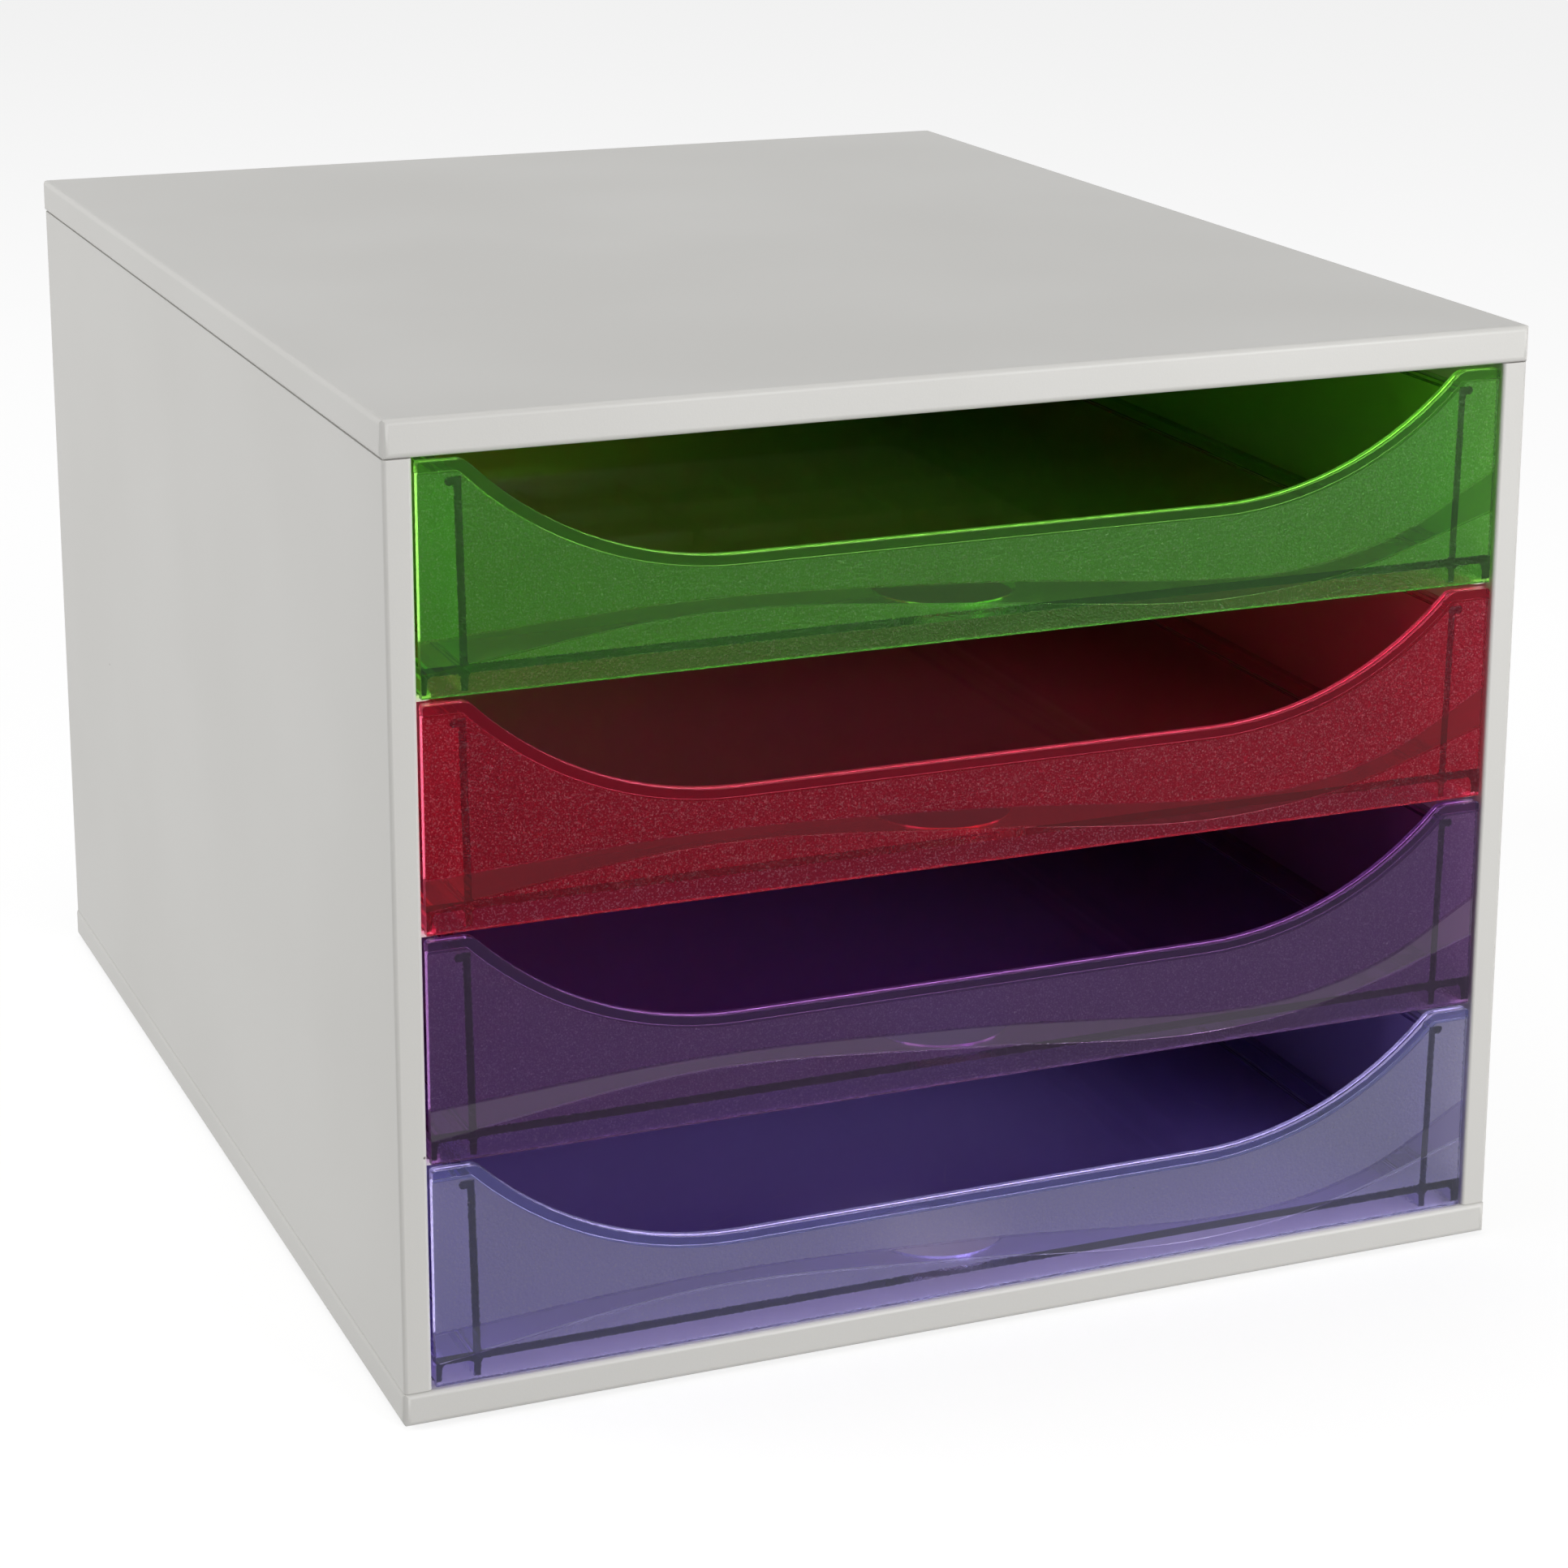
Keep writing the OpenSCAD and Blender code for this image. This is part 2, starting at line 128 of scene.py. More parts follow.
class Tree:
    """Adds nodes to one shader or geometry tree and joins them up."""

    def __init__(self, tree: bpy.types.NodeTree) -> None:
        """Starts with the given, empty tree."""
        self.tree = tree

    def add(self, kind: str, settings: dict[str, Any] | None = None, **inputs: Any) -> bpy.types.Node:
        """Adds a node.

        Args:
            kind: the node's type, such as ShaderNodeMath.
            settings: properties to set on the node.
            inputs: values or sockets for its inputs, by name with spaces as underscores, or in0, in1 by place.

        Returns:
            The new node.
        """
        node = self.tree.nodes.new(kind)
        for name, value in (settings or {}).items():
            setattr(node, name, value)
        for name, value in inputs.items():
            by_place = name[:2] == "in" and name[2:].isdigit()
            key: int | str = int(name[2:]) if by_place else name.replace("_", " ")
            self.feed(node.inputs[key], value)
        return node

    def feed(self, socket: Socket, value: Any) -> None:
        """Sets a socket.

        Args:
            socket: the socket.
            value: a plain value for it, or the socket that is linked to it.
        """
        if isinstance(value, bpy.types.NodeSocket):
            self.tree.links.new(value, socket)
        else:
            socket.default_value = value

    def math(self, operation: str, a: Any, b: Any = 0.0, c: Any = 0.0, clamp: bool = False) -> Socket:
        """Adds a Math node and returns its result."""
        settings = {"operation": operation, "use_clamp": clamp}
        return self.add("ShaderNodeMath", settings, in0=a, in1=b, in2=c).outputs[0]

    def span(
        self,
        value: Any,
        low: float,
        high: float,
        to_low: float = 0.0,
        to_high: float = 1.0,
        blend: Blend = Blend.EVEN,
    ) -> Socket:
        """Maps a value from one range to another, held at both ends.

        Args:
            value: the value.
            low: the start of its range.
            high: the end of its range.
            to_low: the result at the start.
            to_high: the result at the end.
            blend: how the result goes from the one to the other.

        Returns:
            The result.
        """
        node = self.add("ShaderNodeMapRange", {"interpolation_type": blend.value}, Value=value)
        ends = {"From Min": low, "From Max": high, "To Min": to_low, "To Max": to_high}
        for name, end in ends.items():
            self.feed(node.inputs[name], end)
        return node.outputs["Result"]

    def ramp(self, value: Any, low: float, high: float, to_low: float = 0.0, to_high: float = 1.0) -> Socket:
        """Maps a value as span does, but smoothly."""
        return self.span(value, low, high, to_low, to_high, Blend.SMOOTH)

    def noise(self, vector: Socket, scale: Any, detail: float = 2.0, roughness: float = 0.5) -> Socket:
        """Adds noise of that many waves a metre and returns its value, from 0 to 1."""
        inputs = {"Vector": vector, "Scale": scale, "Detail": detail, "Roughness": roughness}
        return self.add("ShaderNodeTexNoise", None, **inputs).outputs["Fac"]

    def bump(self, height: Socket, relief: float, strength: float = 1.0) -> Socket:
        """Adds a bump with that much relief in metres and returns the normal."""
        return self.add("ShaderNodeBump", None, Height=height, Strength=strength, Distance=relief).outputs[0]

    def mix(self, share: Any, a: Any, b: Any) -> Socket:
        """Mixes two colours.

        Args:
            share: how much of the second colour is in the mix, from 0 to 1.
            a: the first colour.
            b: the second colour.

        Returns:
            The mixed colour.
        """
        node = self.add("ShaderNodeMix", {"data_type": "RGBA"}, in0=share)
        first, second = (s for s in node.inputs if s.type == "RGBA")
        self.feed(first, a)
        self.feed(second, b)
        return next(s for s in node.outputs if s.type == "RGBA")


def rgba(colour: Colour) -> tuple[float, float, float, float]:
    """The colour with full opacity."""
    return (*colour, 1.0)


def shader_group(
    name: str,
    inputs: Sequence[tuple[str, str, Any]],
    outputs: Sequence[tuple[str, str]],
    fill: Callable[[Tree, dict[str, Socket]], dict[str, Socket]],
) -> bpy.types.ShaderNodeTree:
    """Builds a shared shader effect once.

    Args:
        name: the group's name.
        inputs: name, socket type and default of each input.
        outputs: name and socket type of each output.
        fill: makes the nodes from the input sockets and returns the sockets for the outputs.

    Returns:
        The node group, the one made before if there is one.
    """
    if name in bpy.data.node_groups:
        return bpy.data.node_groups[name]
    group = bpy.data.node_groups.new(name, "ShaderNodeTree")
    for label, kind, default in inputs:
        socket = group.interface.new_socket(label, in_out="INPUT", socket_type=kind)
        if default is not None:
            socket.default_value = default
    for label, kind in outputs:
        group.interface.new_socket(label, in_out="OUTPUT", socket_type=kind)
    tree = Tree(group)
    entry = tree.add("NodeGroupInput")
    made = fill(tree, {s.name: s for s in entry.outputs if s.name})
    leave = tree.add("NodeGroupOutput")
    for label, _ in outputs:
        tree.feed(leave.inputs[label], made[label])
    return group


def moulded_grain() -> bpy.types.ShaderNodeTree:
    """Fine grain of a textured mould, as a height and as a mask of its tiny peaks.

    Returns:
        The shared group.
    """
    finer, soft_share, fine_share = 2.3, 0.6, 0.4
    peak_start, peak_full = 0.54, 0.70

    def fill(tree: Tree, given: dict[str, Socket]) -> dict[str, Socket]:
        """Joins two sizes of noise, the finer one sharpened into peaks.

        Args:
            tree: the group's tree.
            given: the group's inputs.

        Returns:
            The sockets for its outputs.
        """
        waves = tree.math("DIVIDE", 1.0, given["Size"])
        soft = tree.noise(given["Vector"], waves)
        fine = tree.noise(given["Vector"], tree.math("MULTIPLY", waves, finer), detail=1.0)
        height = tree.math(
            "ADD", tree.math("MULTIPLY", soft, soft_share), tree.math("MULTIPLY", fine, fine_share)
        )
        return {"Height": height, "Peaks": tree.ramp(fine, peak_start, peak_full)}

    return shader_group(
        "Moulded grain",
        [("Vector", "NodeSocketVector", None), ("Size", "NodeSocketFloat", 0.5 * MM)],
        [("Height", "NodeSocketFloat"), ("Peaks", "NodeSocketFloat")],
        fill,
    )


def stray_dust() -> bpy.types.ShaderNodeTree:
    """Sparse small specks, of which only a chosen share of the cells hold one.

    Returns:
        The shared group.
    """
    least_size = 0.25

    def fill(tree: Tree, given: dict[str, Socket]) -> dict[str, Socket]:
        """Draws round dots in random cells, each of its own size.

        Args:
            tree: the group's tree.
            given: the group's inputs.

        Returns:
            The sockets for its outputs.
        """
        scale = tree.math("DIVIDE", 1.0, given["Spacing"])
        cells = tree.add("ShaderNodeTexVoronoi", None, Vector=given["Vector"], Scale=scale)
        pick = tree.add("ShaderNodeSeparateColor", None, Color=cells.outputs["Color"]).outputs
        chosen = tree.math("LESS_THAN", pick[0], given["Share"])
        reach = tree.math("MULTIPLY", given["Speck"], tree.math("ADD", pick[1], least_size))
        away = tree.math("MULTIPLY", cells.outputs["Distance"], given["Spacing"])
        return {"Mask": tree.math("MULTIPLY", chosen, tree.math("LESS_THAN", away, reach))}

    return shader_group(
        "Stray dust",
        [
            ("Vector", "NodeSocketVector", None),
            ("Spacing", "NodeSocketFloat", 10 * MM),
            ("Speck", "NodeSocketFloat", 0.3 * MM),
            ("Share", "NodeSocketFloat", 0.3),
        ],
        [("Mask", "NodeSocketFloat")],
        fill,
    )


def hair_scratches() -> bpy.types.ShaderNodeTree:
    """Faint straight hair scratches in two slanting directions.

    Returns:
        The shared group.
    """
    turns = (0.45, -0.9)
    stretch = (6.0, 6.0, 160.0)
    crest, crest_width = 0.5, 0.0008
    patch_waves, patch_start, patch_full = 45.0, 0.57, 0.64

    def fill(tree: Tree, given: dict[str, Socket]) -> dict[str, Socket]:
        """Finds thin crests of noise stretched along each direction, broken up by a broader noise.

        Args:
            tree: the group's tree.
            given: the group's inputs.

        Returns:
            The sockets for its outputs.
        """
        masks = []
        for turn in turns:
            turned = tree.add("ShaderNodeMapping", None, Vector=given["Vector"])
            turned.inputs["Rotation"].default_value = (0.0, turn, 0.0)
            turned.inputs["Scale"].default_value = stretch
            waves = tree.noise(turned.outputs[0], scale=1.0, detail=0.0)
            off = tree.math("ABSOLUTE", tree.math("SUBTRACT", waves, crest))
            masks.append(tree.ramp(off, crest_width, 0.0))
        both = tree.math("MAXIMUM", *masks)
        patches = tree.noise(given["Vector"], patch_waves, detail=1.0)
        broken = tree.ramp(patches, patch_start, patch_full)
        return {"Mask": tree.math("MULTIPLY", tree.math("MULTIPLY", both, broken), given["Strength"])}

    return shader_group(
        "Hair scratches",
        [("Vector", "NodeSocketVector", None), ("Strength", "NodeSocketFloat", 1.0)],
        [("Mask", "NodeSocketFloat")],
        fill,
    )


# ---- Finishes ----


def new_material(name: str) -> tuple[bpy.types.Material, Tree, bpy.types.Node, Socket]:
    """Starts a material.

    Args:
        name: the material's name.

    Returns:
        The material, its tree, its Principled BSDF and the object coordinates.
    """
    material = bpy.data.materials.new(name)
    material.use_nodes = True
    material.node_tree.nodes.clear()
    tree = Tree(material.node_tree)
    surface = tree.add("ShaderNodeBsdfPrincipled")
    tree.add("ShaderNodeOutputMaterial", None, Surface=surface.outputs[0])
    place = tree.add("ShaderNodeTexCoord").outputs["Object"]
    return material, tree, surface, place


@dataclass(frozen=True)
class Dust:
    """How a finish is dusted."""

    spacing: float
    speck: float
    share: float

    def mask(self, tree: Tree, place: Socket) -> Socket:
        """Adds the dust to a tree.

        Args:
            tree: the material's tree.
            place: the object coordinates.

        Returns:
            A mask that is 1 on the specks.
        """
        node = tree.add("ShaderNodeGroup", {"node_tree": stray_dust()}, Vector=place)
        for name, value in (("Spacing", self.spacing), ("Speck", self.speck), ("Share", self.share)):
            node.inputs[name].default_value = value
        return node.outputs["Mask"]


@dataclass(frozen=True)
class CasePlastic:
    """Matt light grey polystyrene with a fine mould grain whose tips are lightened as painted highlights, faint
    clouds and a little dust.
    """

    colour: Colour = (0.60, 0.592, 0.568)
    shade: Colour = (0.575, 0.566, 0.542)
    # Painted highlights: the tone and share that lighten the grain's tips as if they caught the light.
    painted_highlight_tone: Colour = (0.72, 0.71, 0.68)
    painted_highlight_share: float = 0.06
    soil: Colour = (0.16, 0.15, 0.13)
    dust: Dust = Dust(24 * MM, 0.34 * MM, 0.35)
    least_roughness: float = 0.43
    most_roughness: float = 0.5
    refraction: float = 1.5
    cloud_waves: float = 9.0
    grain: float = 0.55 * MM
    relief: float = 0.02 * MM

    def build(self) -> bpy.types.Material:
        """Makes the material.

        Returns:
            The material.
        """
        material, tree, surface, place = new_material("case_plastic_look")
        grain = tree.add("ShaderNodeGroup", {"node_tree": moulded_grain()}, Vector=place, Size=self.grain)
        cloud = tree.noise(place, self.cloud_waves)
        plain = tree.mix(cloud, rgba(self.colour), rgba(self.shade))
        # Painted highlights: the grain's tips are lightened as if they caught the light.
        peaks = tree.math("MULTIPLY", grain.outputs["Peaks"], self.painted_highlight_share)
        grained = tree.mix(peaks, plain, rgba(self.painted_highlight_tone))
        tree.feed(surface.inputs["Base Color"], tree.mix(self.dust.mask(tree, place), grained, rgba(self.soil)))
        rough = tree.ramp(cloud, *CLOUDY, self.least_roughness, self.most_roughness)
        tree.feed(surface.inputs["Roughness"], rough)
        tree.feed(surface.inputs["Normal"], tree.bump(grain.outputs["Height"], self.relief))
        surface.inputs["IOR"].default_value = self.refraction
        return material


@dataclass(frozen=True)
class PadRubber:
    """Dull dark rubber with a slight bloom."""

    colour: Colour = (0.05, 0.05, 0.054)
    bloom: Colour = (0.085, 0.085, 0.088)
    bloom_waves: float = 220.0
    least_roughness: float = 0.7
    most_roughness: float = 0.85
    relief: float = 0.05 * MM
    relief_strength: float = 0.5

    def build(self) -> bpy.types.Material:
        """Makes the material.

        Returns:
            The material.
        """
        material, tree, surface, place = new_material("pad_rubber_look")
        cloud = tree.noise(place, self.bloom_waves, detail=3.0)
        tree.feed(surface.inputs["Base Color"], tree.mix(cloud, rgba(self.colour), rgba(self.bloom)))
        rough = tree.ramp(cloud, *CLOUDY, self.least_roughness, self.most_roughness)
        tree.feed(surface.inputs["Roughness"], rough)
        tree.feed(surface.inputs["Normal"], tree.bump(cloud, self.relief, self.relief_strength))
        return material


@dataclass(frozen=True)
class Zones:
    """Masks of the surfaces of a tray that look unlike the rest.

    They are the bead along the front's top, the polished band, the finely grained face, the textured back
    of the front, and the textured underside of the floor.
    """

    bead: Socket
    band: Socket
    face: Socket
    back: Socket
    underside: Socket


@dataclass(frozen=True)
class FrontPlate:
    """Where a drawer's front lies: its levels along Y, the floor's underside, and the band's two edges."""

    levels: dict[Level, float]
    under: float
    upper: tuple[Vector, ...]
    lower: tuple[Vector, ...]

    def height(self, tree: Tree, across: Socket, edge: tuple[Vector, ...]) -> Socket:
        """Adds the height of one edge of the band.

        Args:
            tree: the material's tree.
            across: the place along X.
            edge: the edge's points, from left to right.

        Returns:
            The height of the edge at that place.
        """
        low, high = min(p.z for p in edge), max(p.z for p in edge)
        share = tree.span(across, edge[0].x, edge[-1].x)
        node = tree.add("ShaderNodeFloatCurve", None, Value=share)
        points = node.mapping.curves[0].points
        width = edge[-1].x - edge[0].x
        spots = [((p.x - edge[0].x) / width, (p.z - low) / (high - low)) for p in edge]
        points[0].location, points[-1].location = spots[0], spots[-1]
        for spot in spots[1:-1]:
            points.new(*spot)
        node.mapping.update()
        return tree.span(node.outputs[0], 0.0, 1.0, low, high)

    def zones(self, tree: Tree, place: Socket, smooth_reach: float) -> Zones:
        """Adds the masks of the tray's surfaces.

        Args:
            tree: the material's tree.
            place: the object coordinates.
            smooth_reach: how far the floor's underside stays smooth behind the front.

        Returns:
            The masks.
        """
        spot = tree.add("ShaderNodeSeparateXYZ", None, Vector=place).outputs
        across, along, height = spot["X"], spot["Y"], spot["Z"]
        bead, face, band, back = (
            tree.math("COMPARE", along, self.levels[level], ON_LEVEL) for level in Level
        )
        below = tree.math("LESS_THAN", height, self.height(tree, across, self.upper))
        above = tree.math("GREATER_THAN", height, self.height(tree, across, self.lower))
        round_band = tree.math("SUBTRACT", 1.0, tree.math("MULTIPLY", below, above))
        over_floor = tree.math("GREATER_THAN", height, self.under)
        beyond = tree.math("GREATER_THAN", along, self.levels[Level.BACK] + smooth_reach)
        underside = tree.math("COMPARE", height, self.under, ON_LEVEL)
        return Zones(
            bead=bead,
            band=band,
            face=face,
            back=tree.math("MULTIPLY", back, tree.math("MULTIPLY", round_band, over_floor)),
            underside=tree.math("MULTIPLY", underside, beyond),
        )


@dataclass(frozen=True)
class TrayPlastic:
    """Translucent polystyrene of one colour.

    It is polished, but finely grained on the front's face and textured on the front's back and under the
    floor. passed is the light that gets through depth of plastic; let_by and let_by_texture are the shares
    of lamp light that get through one clear or textured surface. The bead and band colours are painted shade,
    with a painted reflection on purple's band, and the grain's tips are lightened as painted sparkle.
    """

    name: str
    clear: Colour
    frost: Colour
    # The bead colour is darker than the frost as painted shade of the dark inside seen through it; the band
    # colour is darker as painted shade on the green and red drawers and lighter as a painted reflection of the
    # floor on the purple one.
    bead: Colour
    band: Colour
    # Painted sparkle on the grain's tips, and also the colour of dust and scratches.
    painted_sparkle_and_mark_tone: Colour
    passed: Colour
    sheen: Colour
    depth: float = 10 * MM
    dust: Dust = Dust(9 * MM, 0.28 * MM, 0.3)
    dust_strength: float = 0.6
    scratch_strength: float = 0.3
    mark_roughness: float = 0.3
    frost_roughness: float = 0.6
    smooth_reach: float = 20 * MM
    face_roughness: float = 0.2
    clear_roughness: float = 0.05
    grain: float = 0.85 * MM
    relief: float = 0.2 * MM
    transmission: float = 1.0
    refraction: float = 1.57
    polish: float = 0.2
    let_by: float = 0.85
    let_by_texture: float = 0.45

    def build(self, front: FrontPlate) -> bpy.types.Material:
        """Makes the material.

        Args:
            front: where the front of the drawer lies.

        Returns:
            The material.
        """
        material, tree, surface, place = new_material(f"{self.name}_plastic_look")
        zones = front.zones(tree, place, self.smooth_reach)
        textured = tree.math("MAXIMUM", zones.back, zones.face)
        grain = tree.add("ShaderNodeGroup", {"node_tree": moulded_grain()}, Vector=place, Size=self.grain)
        # Painted sparkle: the grain's tips are lightened as if they caught the light.
        painted_sparkle = tree.math("MULTIPLY", grain.outputs["Peaks"], textured)
        marks = self.marks(tree, place)
        body = self.body(tree, zones, textured)
        tint = tree.mix(tree.math("MAXIMUM", painted_sparkle, marks), body, rgba(self.painted_sparkle_and_mark_tone))
        tree.feed(surface.inputs["Base Color"], tint)
        tree.feed(surface.inputs["Roughness"], self.roughness(tree, zones, marks))
        height = tree.math("MULTIPLY", grain.outputs["Height"], textured)
        tree.feed(surface.inputs["Normal"], tree.bump(height, self.relief))
        tree.feed(surface.inputs["Coat Weight"], tree.math("MULTIPLY", zones.band, self.polish))
        surface.inputs["Specular Tint"].default_value = rgba(self.sheen)
        surface.inputs["Transmission Weight"].default_value = self.transmission
        surface.inputs["IOR"].default_value = self.refraction
        leave = next(n for n in tree.tree.nodes if n.type == "OUTPUT_MATERIAL")
        tree.feed(leave.inputs["Volume"], self.absorption(tree))
        tree.feed(leave.inputs["Surface"], self.lit_through(tree, surface.outputs[0], zones.back))
        return material

    def marks(self, tree: Tree, place: Socket) -> Socket:
        """Adds dust and hair scratches.

        Args:
            tree: the material's tree.
            place: the object coordinates.

        Returns:
            Their mask.
        """
        settings = {"node_tree": hair_scratches()}
        scratch = tree.add("ShaderNodeGroup", settings, Vector=place, Strength=self.scratch_strength)
        dust = tree.math("MULTIPLY", self.dust.mask(tree, place), self.dust_strength)
        return tree.math("MAXIMUM", dust, scratch.outputs["Mask"])

    def body(self, tree: Tree, zones: Zones, textured: Socket) -> Socket:
        """Adds the plastic's colour, with painted shade on the bead and painted shade and reflection on the
        band.

        Args:
            tree: the material's tree.
            zones: the masks of the tray's surfaces.
            textured: the mask of what is grained or textured.

        Returns:
            The colour without the painted sparkle, dust and scratches.
        """
        # Painted shade on the bead; painted shade on the green and red bands and a painted reflection on the
        # purple band.
        plain_or_bead = tree.mix(zones.bead, rgba(self.clear), rgba(self.bead))
        smooth = tree.mix(zones.band, plain_or_bead, rgba(self.band))
        return tree.mix(textured, smooth, rgba(self.frost))

    def roughness(self, tree: Tree, zones: Zones, marks: Socket) -> Socket:
        """Adds the roughness.

        Args:
            tree: the material's tree.
            zones: the masks of the tray's surfaces.
            marks: the mask of dust and scratches.

        Returns:
            The roughness, which grows from polished to grained, textured and marked.
        """
        to_face, to_frost = (r - self.clear_roughness for r in (self.face_roughness, self.frost_roughness))
        fine = tree.math("MULTIPLY_ADD", zones.face, to_face, self.clear_roughness)
        coarse = tree.math("MAXIMUM", zones.back, zones.underside)
        rough = tree.math("MULTIPLY_ADD", coarse, to_frost, fine)
        return tree.math("MULTIPLY_ADD", marks, self.mark_roughness, rough)

    def absorption(self, tree: Tree) -> Socket:
        """Adds the absorption inside the plastic.

        Args:
            tree: the material's tree.

        Returns:
            The volume's socket.
        """
        lost = [-math.log(share) / self.depth for share in self.passed]
        density = max(lost)
        kept = tuple(1.0 - rate / density for rate in lost)
        return tree.add("ShaderNodeVolumeAbsorption", None, Color=rgba(kept), Density=density).outputs[0]

    def lit_through(self, tree: Tree, surface: Socket, frosted: Socket) -> Socket:
        """Lets the lamps shine through the plastic, which would cast a full shadow otherwise.

        Args:
            tree: the material's tree.
            surface: the surface as all other rays meet it.
            frosted: the mask of the textured back of the front, which lets less light by.

        Returns:
            The surface for all rays.
        """
        shares = (self.let_by, self.let_by_texture)
        tints = [rgba(tuple(share * math.sqrt(part) for part in self.clear)) for share in shares]
        shade = tree.add("ShaderNodeBsdfTransparent", None, Color=tree.mix(frosted, *tints))
        lamps = tree.add("ShaderNodeLightPath").outputs["Is Shadow Ray"]
        both = tree.add("ShaderNodeMixShader", None, in0=lamps, in1=surface, in2=shade.outputs[0])
        return both.outputs[0]


# ---- Meshes ----


def geometry_group(
    name: str, inputs: Sequence[tuple[str, str, Any]]
) -> tuple[bpy.types.GeometryNodeTree, Tree]:
    """Starts a geometry tree with one geometry output.

    Args:
        name: the tree's name.
        inputs: name, socket type and default of each input.

    Returns:
        The node tree, and the helper that adds to it.
    """
    group = bpy.data.node_groups.new(name, "GeometryNodeTree")
    for label, kind, default in inputs:
        socket = group.interface.new_socket(label, in_out="INPUT", socket_type=kind)
        if default is not None:
            socket.default_value = default
    group.interface.new_socket("Made", in_out="OUTPUT", socket_type="NodeSocketGeometry")
    return group, Tree(group)


def finish_tree(tree: Tree, geometry: Socket, material: Socket) -> None:
    """Ends a geometry tree with real geometry that wears the material.

    Args:
        tree: the geometry tree.
        geometry: what it has made.
        material: the material.
    """
    solid = tree.add("GeometryNodeRealizeInstances", None, Geometry=geometry)
    dressed = tree.add("GeometryNodeSetMaterial", None, Geometry=solid.outputs[0], Material=material)
    tree.add("NodeGroupOutput", None, in0=dressed.outputs[0])


def moulded_skin() -> bpy.types.GeometryNodeTree:
    """Geometry Nodes that weld a piece into one skin, smooth but at its sharp edges.

    Returns:
        The tree, the one made before if there is one.
    """
    name = "Moulded skin"
    if name in bpy.data.node_groups:
        return bpy.data.node_groups[name]
    group, tree = geometry_group(name, (
        ("Piece", "NodeSocketGeometry", None),
        ("Weld", "NodeSocketFloat", WELD),
        ("Sharp Angle", "NodeSocketFloat", SHARP),
        ("Finish", "NodeSocketMaterial", None),
    ))
    given = tree.add("NodeGroupInput").outputs
    welded = tree.add("GeometryNodeMergeByDistance", None, Geometry=given["Piece"], Distance=given["Weld"])
    angle = tree.add("GeometryNodeInputMeshEdgeAngle").outputs["Unsigned Angle"]
    soft = tree.add("FunctionNodeCompare", {"operation": "LESS_THAN"}, in0=angle, in1=given["Sharp Angle"])
    kind = "GeometryNodeSetShadeSmooth"
    faces = tree.add(kind, {"domain": "FACE"}, Geometry=welded.outputs[0], Shade_Smooth=True)
    edges = tree.add(kind, {"domain": "EDGE"}, Geometry=faces.outputs[0], Shade_Smooth=soft.outputs[0])
    finish_tree(tree, edges.outputs[0], given["Finish"])
    return group


def ringed_pad() -> bpy.types.GeometryNodeTree:
    """Geometry Nodes that turn a round pad with concentric moulded rings on its underside.

    Returns:
        The tree, the one made before if there is one.
    """
    name = "Ringed pad"
    if name in bpy.data.node_groups:
        return bpy.data.node_groups[name]
    round_points, section_points = 65, 81
    # The shares of the section at which its rim starts and ends; the underside comes before, the top after.
    rim_start, rim_end = 0.6, 0.7
    group, tree = geometry_group(name, (
        ("Centre", "NodeSocketVector", None),
        ("Radius", "NodeSocketFloat", 7 * MM),
        ("Height", "NodeSocketFloat", 2 * MM),
        ("Rings", "NodeSocketFloat", 4.0),
        ("Ring Depth", "NodeSocketFloat", 0.3 * MM),
        ("Finish", "NodeSocketMaterial", None),
    ))
    given = tree.add("NodeGroupInput").outputs
    # A unit sheet round its middle, whose X goes round the pad and whose Y follows its section.
    counts = {"Vertices_X": round_points, "Vertices_Y": section_points}
    sheet = tree.add("GeometryNodeMeshGrid", None, Size_X=1.0, Size_Y=1.0, **counts)
    spot = tree.add("ShaderNodeSeparateXYZ", None, Vector=tree.add("GeometryNodeInputPosition").outputs[0])
    turn = tree.math("MULTIPLY_ADD", spot.outputs["X"], math.tau, math.pi)
    way = tree.math("ADD", spot.outputs["Y"], 0.5)
    out = tree.math("SUBTRACT", tree.span(way, 0.0, rim_start), tree.span(way, rim_end, 1.0))
    wave = tree.math("COSINE", tree.math("MULTIPLY", tree.math("MULTIPLY", out, given["Rings"]), math.tau))
    sunk = tree.math("MULTIPLY", tree.math("MULTIPLY_ADD", wave, -0.5, 0.5), given["Ring Depth"])
    under = tree.math("MULTIPLY", sunk, tree.math("LESS_THAN", way, rim_start))
    rise = tree.math("MULTIPLY_ADD", tree.span(way, rim_start, rim_end), given["Height"], under)
    reach = tree.math("MULTIPLY", out, given["Radius"])
    place = tree.add(
        "ShaderNodeCombineXYZ",
        X=tree.math("MULTIPLY", reach, tree.math("COSINE", turn)),
        Y=tree.math("MULTIPLY", reach, tree.math("SINE", turn)),
        Z=rise,
    )
    moved = tree.add("ShaderNodeVectorMath", {"operation": "ADD"}, in0=place.outputs[0], in1=given["Centre"])
    turned = tree.add(
        "GeometryNodeSetPosition", None, Geometry=sheet.outputs["Mesh"], Position=moved.outputs[0]
    )
    closed = tree.add("GeometryNodeMergeByDistance", None, Geometry=turned.outputs[0], Distance=WELD)
    smooth = tree.add("GeometryNodeSetShadeSmooth", None, Geometry=closed.outputs[0], Shade_Smooth=True)
    finish_tree(tree, smooth.outputs[0], given["Finish"])
    return group


